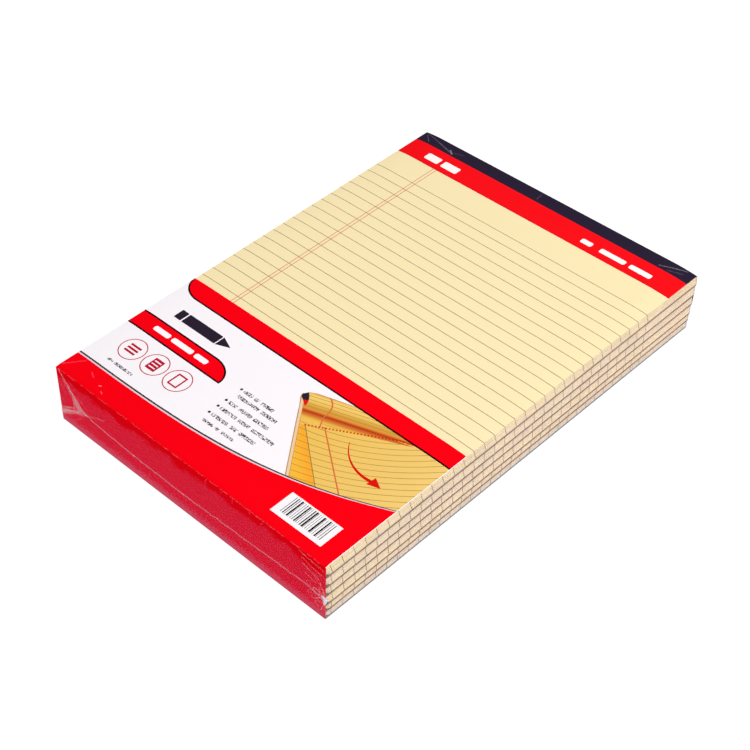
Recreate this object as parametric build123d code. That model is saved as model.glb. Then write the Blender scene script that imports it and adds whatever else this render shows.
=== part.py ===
from build123d import *
import os

# A shrink-wrapped pack of six A4 legal pads, lying face up.
# Origin: middle of the pack's box, on its underside. +Y points to the bound head, +Z up.
# Millimetres throughout.

# Each pad
pad_width = 210.0
pad_length = 297.0  # head to foot, over the binding strip
pad_thicknesses = [5.8, 5.5, 7.6, 7.0, 8.0, 8.4]  # lowest pad first: the sheets hold more or less air
pad_slip = 0.65  # each pad lies this much further to the right than the one under it
board_thickness = 1.0

# Printed strip that is folded round the head of each pad
strip_thickness = 0.2
strip_front_length = 27.1
strip_back_length = 16.0
fold_radius = 0.6  # outside of each fold

# Wire stitches through the sheets and the board, under the strip
wire_diameter = 0.6
wire_clearance = 0.05  # round the wire, in the paper and the board
stitch_width = 13.0
stitch_clinch = 4.5  # length of each leg that is bent over under the board
stitch_bend_radius = 0.8  # to the wire's centre line
stitch_from_head = 9.0
stitch_pitch = 70.0
stitch_count = 3

# Printed paper label, folded round the foot of the pack
label_thickness = 0.15
label_top_length = 101.1
label_bottom_length = 60.0

# Shrink film round everything, closed by a heat-sealed fin across the foot end
film_thickness = 0.05
film_clearance = 0.1  # off the paper
seal_depth = 0.8
seal_thickness = 0.3
seal_height = 16.0

pad_count = len(pad_thicknesses)
stack_height = sum(pad_thicknesses)
wrap_gap = film_thickness + film_clearance

# Where the pads lie in the pack
box_length = pad_length + label_thickness + 2 * wrap_gap + seal_depth
foot_y = -box_length / 2 + seal_depth + wrap_gap + label_thickness
head_y = foot_y + pad_length
stack_bottom = wrap_gap + label_thickness
stack_top = stack_bottom + stack_height
pad_bottoms = [stack_bottom + sum(pad_thicknesses[:i]) for i in range(pad_count)]
pad_centres = [pad_slip * (i - (pad_count - 1) / 2) for i in range(pad_count)]


def across(outline, centre, width, rounded):
    # Extrudes an outline of (y, z) points along X; rounded maps a corner's index to its radius.
    face = make_face(Polyline(*outline, close=True))
    for index, radius in rounded.items():
        face = fillet(face.vertices().sort_by_distance(outline[index])[0], radius)
    return Pos(centre - width / 2, 0, 0) * extrude(Plane.YZ * face, width)


def block(x_range, y_range, z_range):
    # Box between three pairs of limits.
    size = [high - low for low, high in (x_range, y_range, z_range)]
    middle = [(high + low) / 2 for low, high in (x_range, y_range, z_range)]
    return Pos(*middle) * Box(*size)


def stitch_places(centre):
    # X of each stitch's middle, evenly spaced about the pad's middle.
    return [centre + stitch_pitch * (i - (stitch_count - 1) / 2) for i in range(stitch_count)]


def stitch(x, y, low, high):
    # One wire stitch: crown at the top, two legs, and both ends bent inwards below.
    half = stitch_width / 2
    radius = wire_diameter / 2
    crown = high - radius
    clinch = low + radius
    points = [
        (x - half + stitch_clinch, y, clinch),
        (x - half, y, clinch),
        (x - half, y, crown),
        (x + half, y, crown),
        (x + half, y, clinch),
        (x + half - stitch_clinch, y, clinch),
    ]
    path = FilletPolyline(*points, radius=stitch_bend_radius)
    start = Plane(origin=points[0], z_dir=(-1, 0, 0))
    return sweep(start * Circle(radius), path=path)


def stitch_pocket(x, y, low, high):
    # The room that a stitch takes out of the paper and the board.
    half = stitch_width / 2
    reach = wire_diameter / 2 + wire_clearance
    groove = wire_diameter + wire_clearance
    sides = (y - reach, y + reach)
    corner = stitch_bend_radius + groove  # the bends round the inside of each corner
    pocket = block((x - half - reach, x + half + reach), sides, (high - groove, high))
    for side in (-1, 1):
        leg = x + side * half
        outer = leg + side * reach
        end = leg - side * (stitch_clinch + wire_clearance)
        bend = leg - side * corner
        pocket += block((leg - reach, leg + reach), sides, (low, high))
        pocket += block(sorted((end, outer)), sides, (low, low + groove))
        pocket += block(sorted((bend, outer)), sides, (low, low + corner))
        pocket += block(sorted((bend, outer)), sides, (high - corner, high))
    return pocket


def pad(centre, bottom, thickness):
    # The four kinds of piece in one pad, in place.
    top = bottom + thickness
    board_top = bottom + board_thickness
    spine = head_y - strip_thickness
    front_edge = head_y - strip_front_length
    back_edge = head_y - strip_back_length
    under_strip = top - strip_thickness
    over_strip = bottom + strip_thickness
    inner_radius = fold_radius - strip_thickness

    # The stitched head is pressed flat, so the strip lies level with the page and the board.
    sheets = across(
        [
            (foot_y, board_top),
            (spine, board_top),
            (spine, under_strip),
            (front_edge, under_strip),
            (front_edge, top),
            (foot_y, top),
        ],
        centre,
        pad_width,
        {2: inner_radius},
    )
    board = across(
        [
            (foot_y, bottom),
            (back_edge, bottom),
            (back_edge, over_strip),
            (spine, over_strip),
            (spine, board_top),
            (foot_y, board_top),
        ],
        centre,
        pad_width,
        {3: inner_radius},
    )
    strip = across(
        [
            (front_edge, top),
            (head_y, top),
            (head_y, bottom),
            (back_edge, bottom),
            (back_edge, over_strip),
            (spine, over_strip),
            (spine, under_strip),
            (front_edge, under_strip),
        ],
        centre,
        pad_width,
        {1: fold_radius, 2: fold_radius, 5: inner_radius, 6: inner_radius},
    )
    stitch_y = head_y - stitch_from_head
    stitches = []
    for x in stitch_places(centre):
        stitches.append(stitch(x, stitch_y, over_strip, under_strip))
        pocket = stitch_pocket(x, stitch_y, over_strip, under_strip)
        sheets -= pocket
        board -= pocket
    return {
        "ruled_sheets": sheets,
        "backing_board": board,
        "binding_strip": strip,
        "wire_stitches": Compound(children=stitches),
    }


def label():
    # Top flap, end panel and bottom flap, creased hard over the paper and cut to the stack's lean.
    end = foot_y - label_thickness
    low = stack_bottom - label_thickness
    high = stack_top + label_thickness
    top_edge = foot_y + label_top_length
    bottom_edge = foot_y + label_bottom_length
    folded = across(
        [
            (top_edge, high),
            (end, high),
            (end, low),
            (bottom_edge, low),
            (bottom_edge, stack_bottom),
            (foot_y, stack_bottom),
            (foot_y, stack_top),
            (top_edge, stack_top),
        ],
        0,
        2 * pad_width,
        {1: label_thickness, 2: label_thickness},
    )
    half = pad_width / 2
    lean = Polyline(
        (pad_centres[0] - half, low),
        (pad_centres[0] + half, low),
        (pad_centres[-1] + half, high),
        (pad_centres[-1] - half, high),
        close=True,
    )
    cutter = extrude(Plane.XZ * make_face(lean), 2 * pad_length, both=True)
    return folded & cutter


def film():
    # Closed skin that hugs the leaning stack, with the seal's fin across the foot end.
    edges = []
    for i in range(pad_count):
        low = pad_bottoms[i] - (label_thickness if i == 0 else 0)
        high = pad_bottoms[i] + pad_thicknesses[i] + (label_thickness if i == pad_count - 1 else 0)
        edges += (Pos(pad_centres[i], (low + high) / 2) * Rectangle(pad_width, high - low)).edges()
    section = make_hull(edges)
    inside = offset(section, film_clearance, kind=Kind.INTERSECTION)
    outside = offset(section, wrap_gap, kind=Kind.INTERSECTION)
    start = foot_y - label_thickness
    length = head_y - start
    to_end = Pos(0, start + length / 2, 0)
    shell = to_end * extrude(Plane.XZ * outside, length / 2 + wrap_gap, both=True)
    shell -= to_end * extrude(Plane.XZ * inside, length / 2 + film_clearance, both=True)
    end = start - wrap_gap
    lean = (pad_centres[-1] - pad_centres[0]) / stack_height
    middle = lean * (seal_height - stack_bottom - stack_height / 2)
    half = pad_width / 2
    fin = block(
        (middle - half, middle + half),
        (end - seal_depth, end + film_thickness),
        (seal_height - seal_thickness / 2, seal_height + seal_thickness / 2),
    )
    return shell + fin


pieces = {}
for i in range(pad_count):
    number = pad_count - i  # the top pad is pad 1
    for kind, shape in pad(pad_centres[i], pad_bottoms[i], pad_thicknesses[i]).items():
        pieces[f"pad_{number}_{kind}"] = shape
pieces["wrap_label"] = label()
pieces["shrink_film"] = film()

os.makedirs("parts", exist_ok=True)
for name, shape in pieces.items():
    export_step(shape, f"parts/{name}.step")
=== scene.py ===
import math
import random

import bmesh
import bpy
from mathutils import Matrix, Vector, noise


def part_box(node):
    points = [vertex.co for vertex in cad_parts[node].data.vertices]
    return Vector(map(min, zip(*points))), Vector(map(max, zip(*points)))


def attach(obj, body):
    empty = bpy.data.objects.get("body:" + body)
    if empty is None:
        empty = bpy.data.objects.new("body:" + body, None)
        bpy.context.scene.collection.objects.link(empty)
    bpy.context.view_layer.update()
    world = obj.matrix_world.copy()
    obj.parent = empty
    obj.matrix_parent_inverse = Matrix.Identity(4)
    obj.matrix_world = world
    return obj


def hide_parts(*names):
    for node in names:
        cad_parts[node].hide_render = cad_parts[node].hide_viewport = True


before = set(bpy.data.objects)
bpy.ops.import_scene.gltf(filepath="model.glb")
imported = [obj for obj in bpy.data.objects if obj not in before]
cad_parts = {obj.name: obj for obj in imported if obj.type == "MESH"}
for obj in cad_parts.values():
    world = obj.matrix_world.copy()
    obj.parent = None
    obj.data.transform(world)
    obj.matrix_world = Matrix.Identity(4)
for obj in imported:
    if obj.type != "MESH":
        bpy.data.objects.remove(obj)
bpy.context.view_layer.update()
mm = 0.001
padNumbers = range(1, 7)  # pad 1 is on top
print("frame loaded:", len(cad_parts), "nodes")

# where the paper lies, read from the frame
sheetsLow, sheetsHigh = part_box("pad_1_ruled_sheets")
footY = sheetsLow.y
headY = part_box("pad_1_binding_strip")[1].y
middleY = (footY + headY) / 2
topZ = sheetsHigh.z
padMiddle = (sheetsLow.x + sheetsHigh.x) / 2
padHalf = (sheetsHigh.x - sheetsLow.x) / 2
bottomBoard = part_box("pad_6_backing_board")
bottomMiddle = (bottomBoard[0].x + bottomBoard[1].x) / 2
stackBottom = bottomBoard[0].z
stackLean = (padMiddle - bottomMiddle) / (topZ - stackBottom)

# the binding strip, its length on the front and its thickness: the sheets are pressed flat under it
stripFront = 27.1 * mm
stripThickness = 0.2 * mm


def linear(code):
    # sRGB hex such as "FAE7B2" to a linear colour
    parts = [int(code[i:i + 2], 16) / 255 for i in (0, 2, 4)]
    return tuple(c / 12.92 if c <= 0.04045 else ((c + 0.055) / 1.055) ** 2.4 for c in parts) + (1.0,)


def addNode(tree, kind, settings=None, links=None):
    # kind is the type without ShaderNode, and an operation after it. settings holds properties by name, and
    # input values by number or socket name. links holds what feeds each input: a socket, or a node for its
    # first output
    kind, *operations = kind.split()
    node = tree.nodes.new("ShaderNode" + kind)
    for operation in operations:
        node.operation = operation
    for key, value in (settings or {}).items():
        if isinstance(key, str) and hasattr(node, key):
            setattr(node, key, value)
        else:
            node.inputs[key].default_value = value
    for key, source in (links or {}).items():
        socket = source.outputs[0] if isinstance(source, bpy.types.Node) else source
        tree.links.new(socket, node.inputs[key])
    return node


def newMaterial(name):
    material = bpy.data.materials.new(name)
    material.use_nodes = True
    material.node_tree.nodes.clear()
    return material, material.node_tree


def finishMaterial(tree, settings, links):
    shader = addNode(tree, "BsdfPrincipled", settings, links)
    addNode(tree, "OutputMaterial", None, {"Surface": shader})


def finishCoated(tree, colour, grain, rough, relief):
    # printed coated paper, whose grain roughens and lifts it a little. The film over it gives the gloss
    low, high = rough
    uneven = addNode(tree, "MapRange", {3: low, 4: high}, {0: grain})
    bump = addNode(tree, "Bump", {"Strength": relief, "Distance": 0.02 * mm}, {"Height": grain})
    finishMaterial(tree, {"Specular IOR Level": 0.0},
                   {"Base Color": colour, "Roughness": uneven, "Normal": bump})


def acrossLine(tree, place, start, end):
    # the place measured across a line, more to the left of it, and what the line itself measures
    across = Vector((start[1] - end[1], end[0] - start[0], 0)).normalized()
    reach = addNode(tree, "VectorMath DOT_PRODUCT", {1: across}, {0: place})
    return reach.outputs["Value"], across.dot(Vector((*start, 0)))


def sideOf(tree, place, start, end):
    # mask of what lies to the left of the line from start to end
    reach, offset = acrossLine(tree, place, start, end)
    return addNode(tree, "Math GREATER_THAN", {1: offset}, {0: reach})


def gapFrom(tree, place, middle, half, turn):
    # distance from a rectangle of half sizes, turned by so many degrees
    own = addNode(tree, "Mapping",
                  {"vector_type": "TEXTURE", "Location": (*middle, 0),
                   "Rotation": (0, 0, math.radians(turn))}, {0: place})
    folded = addNode(tree, "VectorMath ABSOLUTE", None, {0: own})
    beyond = addNode(tree, "VectorMath SUBTRACT", {1: (*half, 0)}, {0: folded})
    outside = addNode(tree, "VectorMath MAXIMUM", None, {0: beyond})
    return addNode(tree, "VectorMath LENGTH", None, {0: outside}).outputs["Value"]


def bar(tree, place, middle, size, turn=0.0, corner=0.01):
    # mask of a rounded rectangle
    gap = gapFrom(tree, place, middle, (size[0] / 2 - corner, size[1] / 2 - corner), turn)
    return addNode(tree, "Math LESS_THAN", {1: corner}, {0: gap})


def crease(tree, place, start, end, width, strength):
    # soft line: strength along it, fading to nothing at width from it
    span = Vector(end) - Vector(start)
    middle = (Vector(start) + Vector(end)) / 2
    turn = math.degrees(math.atan2(span.y, span.x))
    gap = gapFrom(tree, place, middle, (span.length / 2, 0), turn)
    return addNode(tree, "MapRange", {"interpolation_type": "SMOOTHSTEP", 1: width, 2: 0.0, 4: strength},
                   {0: gap})


def oval(tree, place, middle, radii):
    # mask of an ellipse
    own = addNode(tree, "Mapping", {"vector_type": "TEXTURE", "Location": (*middle, 0), "Scale": (*radii, 1)},
                  {0: place})
    reach = addNode(tree, "VectorMath LENGTH", None, {0: own})
    return addNode(tree, "Math LESS_THAN", {1: 1.0}, {0: reach.outputs["Value"]})


def fromPoint(tree, place, middle):
    # distance from a point
    return addNode(tree, "VectorMath DISTANCE", {1: (*middle, 0)}, {0: place}).outputs["Value"]


def ring(tree, place, middle, radius, width):
    # mask of a circle's line
    reach = fromPoint(tree, place, middle)
    return addNode(tree, "Math COMPARE", {1: radius, 2: width / 2}, {0: reach})


def ruled(tree, distance, pitch, width):
    # mask of a line in the middle of each pitch
    step = addNode(tree, "Math FLOORED_MODULO", {1: pitch}, {0: distance})
    return addNode(tree, "Math COMPARE", {1: pitch / 2, 2: width / 2}, {0: step})


def fromAbove(tree, place, middle):
    # millimetres from a point, seen from above
    own = addNode(tree, "Mapping", {"vector_type": "TEXTURE", "Location": (*middle, 0), "Scale": (mm, mm, 1)},
                  {0: place})
    return addNode(tree, "VectorMath MULTIPLY", {1: (1, 1, 0)}, {0: own})


def polygon(tree, place, corners):
    # mask of a convex outline, its corners counter-clockwise
    return mixed(tree, "MINIMUM",
                 [sideOf(tree, place, *pair) for pair in zip(corners, corners[1:] + corners[:1])])


def lineMark(tree, place, ends, width):
    # mask of a straight line with round ends
    (x0, y0), (x1, y1) = ends
    turn = math.degrees(math.atan2(y1 - y0, x1 - x0))
    size = (math.hypot(x1 - x0, y1 - y0) + width, width)
    return bar(tree, place, ((x0 + x1) / 2, (y0 + y1) / 2), size, turn, width / 2 - 0.001)


def stripes(tree, place, turn, pitch):
    # mask of half of each pitch, counted along a direction
    own = addNode(tree, "Mapping", {"vector_type": "TEXTURE", "Rotation": (0, 0, math.radians(turn))},
                  {0: place})
    axes = addNode(tree, "SeparateXYZ", None, {0: own})
    step = addNode(tree, "Math FLOORED_MODULO", {1: pitch}, {0: axes})
    return addNode(tree, "Math LESS_THAN", {1: pitch / 2}, {0: step})


def mixed(tree, operation, masks):
    # MINIMUM of masks is where all of them are, MAXIMUM where any is
    result = masks[0]
    for mask in masks[1:]:
        result = addNode(tree, "Math " + operation, None, {0: result, 1: mask})
    return result


def outsideOf(tree, mask):
    return addNode(tree, "Math SUBTRACT", {0: 1.0}, {1: mask})


def layer(tree, under, over, mask):
    # one colour over another where the mask is, each given as hex or as a socket
    settings, links = {"data_type": "RGBA"}, {0: mask}
    for slot, colour in ((6, under), (7, over)):
        if isinstance(colour, str):
            settings[slot] = linear(colour)
        else:
            links[slot] = colour
    return addNode(tree, "Mix", settings, links).outputs[2]


onSide = 0.999  # a place in the gridded box beyond this lies on its side


def griddedBox(counts):
    # closed box from -1 to 1, with counts faces along each axis
    bm = bmesh.new()
    bmesh.ops.create_cube(bm, size=2)
    for axis in range(3):
        crossing = [e for e in bm.edges if abs(e.verts[0].co[axis] - e.verts[1].co[axis]) > 1e-4]
        bmesh.ops.subdivide_edges(bm, edges=crossing, cuts=counts[axis] - 1, use_grid_fill=True)
    return bm


def extrudeOn(bm, edges, step):
    # carries a row of edges one step along X, and gives the new row and its vertices
    made = bmesh.ops.extrude_edge_only(bm, edges=edges)["geom"]
    moved = [g for g in made if isinstance(g, bmesh.types.BMVert)]
    bmesh.ops.translate(bm, vec=(step, 0, 0), verts=moved)
    fresh = set(moved)
    row = [g for g in made if isinstance(g, bmesh.types.BMEdge) and fresh.issuperset(g.verts)]
    return row, moved


def drawAcross(line, width, columns):
    # profile of (y, z) points, extruded along X from 0 to width
    bm = bmesh.new()
    verts = [bm.verts.new((0, y, z)) for y, z in line]
    edges = [bm.edges.new(pair) for pair in zip(verts, verts[1:])]
    for _ in range(columns):
        edges = extrudeOn(bm, edges, width / columns)[0]
    bmesh.ops.recalc_face_normals(bm, faces=bm.faces)
    return bm


def addPiece(name, bm, material, nodes, smooth=False):
    mesh = bpy.data.meshes.new(name)
    bm.to_mesh(mesh)
    bm.free()
    mesh.materials.append(material)
    mesh.polygons.foreach_set("use_smooth", [smooth] * len(mesh.polygons))
    piece = bpy.data.objects.new(name, mesh)
    bpy.context.scene.collection.objects.link(piece)
    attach(piece, "root")
    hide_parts(*nodes)
    return piece


def crowd(t, share):
    # moves places from -1 to 1 towards the ends
    return share * math.sin(t * math.pi / 2) + (1 - share) * t


def ease(distance, width):
    # 1 at an edge, falling smoothly to 0 at width
    t = max(0.0, 1 - max(distance, 0.0) / width)
    return t * t


# the tight film pulls the top pad down along its edges, most at the head
pull = dict(
    head=(0.12 * mm, 5 * mm),
    foot=(0.35 * mm, 1.5 * mm),
    rightAtHead=1.0 * mm,
    rightAtFoot=0.3 * mm,
    rightWidth=17 * mm,
    leftAtHead=0.9 * mm,
    leftAtFoot=0.2 * mm,
    leftWidth=13 * mm,
)


def droop(x, y):
    # how far the top of the pack lies under its flat middle
    p = pull
    toHead = min(max((y - footY) / (headY - footY), 0), 1)
    right = p["rightAtFoot"] + (p["rightAtHead"] - p["rightAtFoot"]) * toHead
    left = p["leftAtFoot"] + (p["leftAtHead"] - p["leftAtFoot"]) * toHead
    drop = right * ease(padMiddle + padHalf - x, p["rightWidth"])
    drop += left * ease(x - padMiddle + padHalf, p["leftWidth"])
    drop += p["head"][0] * ease(headY - y, p["head"][1])
    drop += p["foot"][0] * ease(y - footY, p["foot"][1])
    return drop


# Sheets
sheetSettings = dict(
    count=50,
    seed=40,
    paperShare=0.72,  # of the pitch between sheets, the rest is air
    edgeScatter=0.09 * mm,  # how far single sheets stand in or out
    columns=26,
    rows=44,
    edgeCrowding=0.72,
    # where the print sits on the lowest and the highest sheet of each pad
    printPlaces={1: (1.6, 0.0), 2: (1.4, 0.5), 3: (1.0, 0.6), 4: (2.2, 1.6), 5: (1.7, 1.6), 6: (1.6, 1.4)},
    printWander=0.35 * mm,
    wanderSteps=(7.3, 0.23),  # along the noise, from pad to pad and from sheet to sheet
    # the lower sheets are drawn in at the corner between foot and right side: how far, over what length,
    # and what share of the sheets
    tuck=(1.7 * mm, 3.2 * mm, 0.55),
)


def makeSheets(number, material):
    s = sheetSettings
    low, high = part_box(f"pad_{number}_ruled_sheets")
    middle, half = (low + high) / 2, (high - low) / 2
    draw = random.Random(s["seed"] + number)
    levels = 2 * s["count"] - 1
    pitch = (high.z - low.z) / (s["count"] - 1 + s["paperShare"])
    scatter = [[draw.uniform(-1, 1) * s["edgeScatter"] for _ in range(2)] for _ in range(s["count"])]
    bm = griddedBox((s["columns"], s["rows"], levels))
    shiftLayer = bm.verts.layers.float.new("printShift")
    lowPrint, highPrint = (place * mm for place in s["printPlaces"][number])
    for vert in bm.verts:
        level = round((vert.co.z + 1) / 2 * levels)
        sheet = level // 2
        share = sheet / (s["count"] - 1)
        outX, outY = scatter[sheet] if 0 < share < 1 else (0, 0)
        x = middle.x + crowd(vert.co.x, s["edgeCrowding"]) * (half.x - s["edgeScatter"])
        y = middle.y + crowd(vert.co.y, s["edgeCrowding"]) * (half.y - s["edgeScatter"])
        z = low.z + pitch * (sheet + s["paperShare"] * (level % 2))
        if number == 1:
            z -= droop(x, y) * share
        deep, length, most = s["tuck"]
        if vert.co.x > onSide:
            outX -= deep * ease(y - low.y, length) * max(0, 1 - share / most)
        if y > headY - stripFront:
            z -= stripThickness * share
        vert.co = (x + outX, y + outY, z)
        padStep, sheetStep = s["wanderSteps"]
        wander = noise.noise((number * padStep, sheet * sheetStep, 0)) * s["printWander"] if share < 1 else 0
        vert[shiftLayer] = lowPrint + (highPrint - lowPrint) * share + wander
    return addPiece(f"ruledSheets{number}", bm, material, [f"pad_{number}_ruled_sheets"])


paperLook = dict(
    paper="F7E5B5",
    paperShade="F0DCAA",
    edge="D1C0AF",
    edgeShade="C5B3A6",
    edgeFoot="CDC293",
    rule="6C4603",
    margin="CF5643",
    rulePitch=8 * mm,
    ruleWidth=0.345 * mm,
    firstRule=102.1 * mm,  # from the pad's middle
    edgeInk=0.72,  # the ends of the rules show fainter on the cut edges
    marginLines=(-74.6 * mm, -72.35 * mm),
    marginWidth=0.4 * mm,
    fibre=0.6 * mm,
    cloud=14 * mm,
    footReach=45 * mm,  # the cut edges turn yellower over this length towards the foot
    footTint=0.5,  # how far they turn
    fibreTones=(0.35, 0.75, 0.4),  # from where to where the fibres shade the page, and how much
    edgeTones=(0.35, 0.65),  # from where to where the clouds shade the cut edges
    edgeUpTo=0.5,  # faces that point up or down less than this are cut edges
)


def ruledPaper():
    # Uncoated writing paper, calendered and ruled: matte warm yellow with a faint fibre mottle,
    # greyer at the cut edges
    p = paperLook
    material, tree = newMaterial("ruledWritingPaper")
    place = addNode(tree, "TexCoord").outputs["Object"]
    axes = addNode(tree, "SeparateXYZ", None, {0: place})
    shift = addNode(tree, "Attribute", {"attribute_name": "printShift"}).outputs["Fac"]
    fibres = addNode(tree, "TexNoise", {"Scale": 1 / p["fibre"], "Detail": 4.0}, {"Vector": place})
    clouds = addNode(tree, "TexNoise", {"Scale": 1 / p["cloud"], "Detail": 2.0}, {"Vector": place})
    low, high, most = p["fibreTones"]
    fibreTone = addNode(tree, "MapRange", {1: low, 2: high, 4: most}, {0: fibres})
    page = layer(tree, p["paper"], p["paperShade"], fibreTone)
    # distance to the nearest rule, counted down from the first one
    onSheet = addNode(tree, "Math SUBTRACT", None, {0: axes.outputs[1], 1: shift})
    down = addNode(tree, "Math SUBTRACT", {0: middleY + p["firstRule"] + p["rulePitch"] / 2}, {1: onSheet})
    below = addNode(tree, "Math GREATER_THAN", {1: 0.0}, {0: down})
    rules = mixed(tree, "MINIMUM", [ruled(tree, down, p["rulePitch"], p["ruleWidth"]), below])
    # cut edges scatter the light, and look greyer than the page
    normal = addNode(tree, "NewGeometry").outputs["Normal"]
    facing = addNode(tree, "SeparateXYZ", None, {0: normal})
    upright = addNode(tree, "Math COMPARE", {1: 0.0, 2: p["edgeUpTo"]}, {0: facing.outputs[2]})
    low, high = p["edgeTones"]
    edgeTone = addNode(tree, "MapRange", {1: low, 2: high}, {0: clouds})
    edge = layer(tree, p["edge"], p["edgeShade"], edgeTone)
    toFoot = addNode(tree, "MapRange", {1: footY + p["footReach"], 2: footY, 4: p["footTint"]},
                     {0: axes.outputs[1]})
    toFoot = addNode(tree, "Math MULTIPLY", None, {0: toFoot, 1: edgeTone})
    edge = layer(tree, edge, p["edgeFoot"], toFoot)
    colour = layer(tree, page, edge, upright)
    ink = addNode(tree, "MapRange", {3: 1.0, 4: p["edgeInk"]}, {0: upright})
    rules = addNode(tree, "Math MULTIPLY", None, {0: rules, 1: ink})
    colour = layer(tree, colour, p["rule"], rules)
    for x in p["marginLines"]:
        line = addNode(tree, "Math COMPARE", {1: padMiddle + x, 2: p["marginWidth"] / 2}, {0: axes})
        colour = layer(tree, colour, p["margin"], line)
    bump = addNode(tree, "Bump", {"Strength": 0.15, "Distance": 0.02 * mm}, {"Height": fibres})
    finishMaterial(tree, {"Roughness": 0.85, "Specular IOR Level": 0.1},
                   {"Base Color": colour, "Normal": bump})
    return material


paperMaterial = ruledPaper()
for number in padNumbers:
    makeSheets(number, paperMaterial)
print("sheets built")


# Boards and stitches
boardLook = dict(fleck=(0.34, "625243"), board=(0.5, "7D6957"), pale=(0.68, "96816B"), fleckSize=0.9 * mm)
wireLook = dict(ink="C9CACC", markSize=0.2 * mm, rough=(0.25, 0.42))


def greyBoard():
    # Chipboard pressed from waste paper: matte grey-brown with dark and pale flecks
    p = boardLook
    material, tree = newMaterial("recycledChipboard")
    place = addNode(tree, "TexCoord").outputs["Object"]
    flecks = addNode(tree, "TexNoise", {"Scale": 1 / p["fleckSize"], "Detail": 6.0, "Roughness": 0.7},
                     {"Vector": place})
    tones = addNode(tree, "ValToRGB", None, {0: flecks})
    ramp = tones.color_ramp
    for element, (where, ink) in zip(ramp.elements, (p["fleck"], p["pale"])):
        element.position, element.color = where, linear(ink)
    where, ink = p["board"]
    ramp.elements.new(where).color = linear(ink)
    bump = addNode(tree, "Bump", {"Strength": 0.3, "Distance": 0.05 * mm}, {"Height": flecks})
    finishMaterial(tree, {"Roughness": 0.9, "Specular IOR Level": 0.15},
                   {"Base Color": tones, "Normal": bump})
    return material


def stitchWire():
    # Galvanised stitching wire, drawn bright: a metal gloss broken by fine marks
    w = wireLook
    material, tree = newMaterial("galvanisedStitchingWire")
    place = addNode(tree, "TexCoord").outputs["Object"]
    marks = addNode(tree, "TexNoise", {"Scale": 1 / w["markSize"], "Detail": 3.0}, {"Vector": place})
    low, high = w["rough"]
    sheen = addNode(tree, "MapRange", {3: low, 4: high}, {0: marks})
    finishMaterial(tree, {"Base Color": linear(w["ink"]), "Metallic": 1.0}, {"Roughness": sheen})
    return material


boardMaterial, wireMaterial = greyBoard(), stitchWire()
for number in padNumbers:
    for node, material in (("backing_board", boardMaterial), ("wire_stitches", wireMaterial)):
        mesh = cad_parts[f"pad_{number}_{node}"].data
        mesh.materials.clear()
        mesh.materials.append(material)
print("boards and stitches finished")


# Binding strips
stripSettings = dict(
    back=16 * mm,
    fold=0.6 * mm,
    columns=60,
    darkWidth=10.2 * mm,
    grain=0.8 * mm,
    # a strip whose right edge stands proud: how far, and from where to where below the head
    proud={3: (0.5 * mm, -2 * mm, 13 * mm), 4: (0.5 * mm, 19 * mm, 27 * mm)},
    proudReach=20 * mm,
    crowding=0.8,
    red="F6121B",
    dark="2A2234",
    white="FFF6F2",
    rough=(0.5, 0.6),
    relief=0.08,
    frontSteps=14,
    bendSteps=4,
    # plain bars in place of words: middle from the pad's middle and from the dark band, length, height
    bars=[(-82.0, 9.3, 11.0, 6.0), (-67.6, 9.3, 12.6, 6.0), (40.4, 9.9, 8.0, 3.8), (59.6, 9.9, 18.4, 3.8),
          (79.6, 9.9, 15.4, 3.8)],
)


def stripMaterial():
    # Coated cover paper, offset printed dark and red: smooth, with a low sheen
    s = stripSettings
    material, tree = newMaterial("printedBindingPaper")
    place = addNode(tree, "TexCoord").outputs["Object"]
    axes = addNode(tree, "SeparateXYZ", None, {0: place})
    grain = addNode(tree, "TexNoise", {"Scale": 1 / s["grain"], "Detail": 3.0}, {"Vector": place})
    dark = addNode(tree, "Math GREATER_THAN", {1: headY - s["darkWidth"]}, {0: axes.outputs[1]})
    colour = layer(tree, s["red"], s["dark"], dark)
    flat = fromAbove(tree, place, (padMiddle, headY))
    bars = [bar(tree, flat, (x, -s["darkWidth"] / mm - drop), (length, tall), corner=1.1)
            for x, drop, length, tall in s["bars"]]
    colour = layer(tree, colour, s["white"], mixed(tree, "MAXIMUM", bars))
    finishCoated(tree, colour, grain, s["rough"], s["relief"])
    return material


def makeStrip(number, material):
    s = stripSettings
    low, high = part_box(f"pad_{number}_binding_strip")
    half = stripThickness / 2
    radius = s["fold"] - half
    count, bends = s["frontSteps"], s["bendSteps"]
    turns = [math.pi / 2 * i / bends for i in range(bends + 1)]
    # the strip's middle line, from the front edge over the head and round to the back edge
    line = [(headY - stripFront + (stripFront - s["fold"]) * i / count, high.z - half) for i in range(count)]
    bendY = headY - s["fold"]
    line += [(bendY + radius * math.sin(t), high.z - s["fold"] + radius * math.cos(t)) for t in turns]
    line += [(bendY + radius * math.cos(t), low.z + s["fold"] - radius * math.sin(t)) for t in turns]
    line.append((headY - s["back"], low.z + half))
    width = high.x - low.x
    bm = drawAcross(line, width, s["columns"])
    bmesh.ops.solidify(bm, geom=bm.faces[:], thickness=stripThickness)
    offsets = [v.co.z for v in bm.verts]
    settle = (low.z + high.z) / 2 - (min(offsets) + max(offsets)) / 2
    for vert in bm.verts:
        x = low.x + width * (0.5 + 0.5 * crowd(vert.co.x / width * 2 - 1, s["crowding"]))
        z = vert.co.z + settle
        if number == 1:
            z -= droop(x, vert.co.y) * max(0, min(1, (z - low.z) / (high.z - low.z)))
        if number in s["proud"] and z > (low.z + high.z) / 2:
            out, start, end = s["proud"][number]
            if start < headY - vert.co.y < end:
                x += out * ease(high.x - x, s["proudReach"])
        vert.co.x, vert.co.z = x, z
    nodes = [f"pad_{number}_binding_strip"]
    return addPiece(f"bindingStrip{number}", bm, material, nodes, True)


stripPaper = stripMaterial()
for number in padNumbers:
    makeStrip(number, stripPaper)
print("binding strips built")


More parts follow.
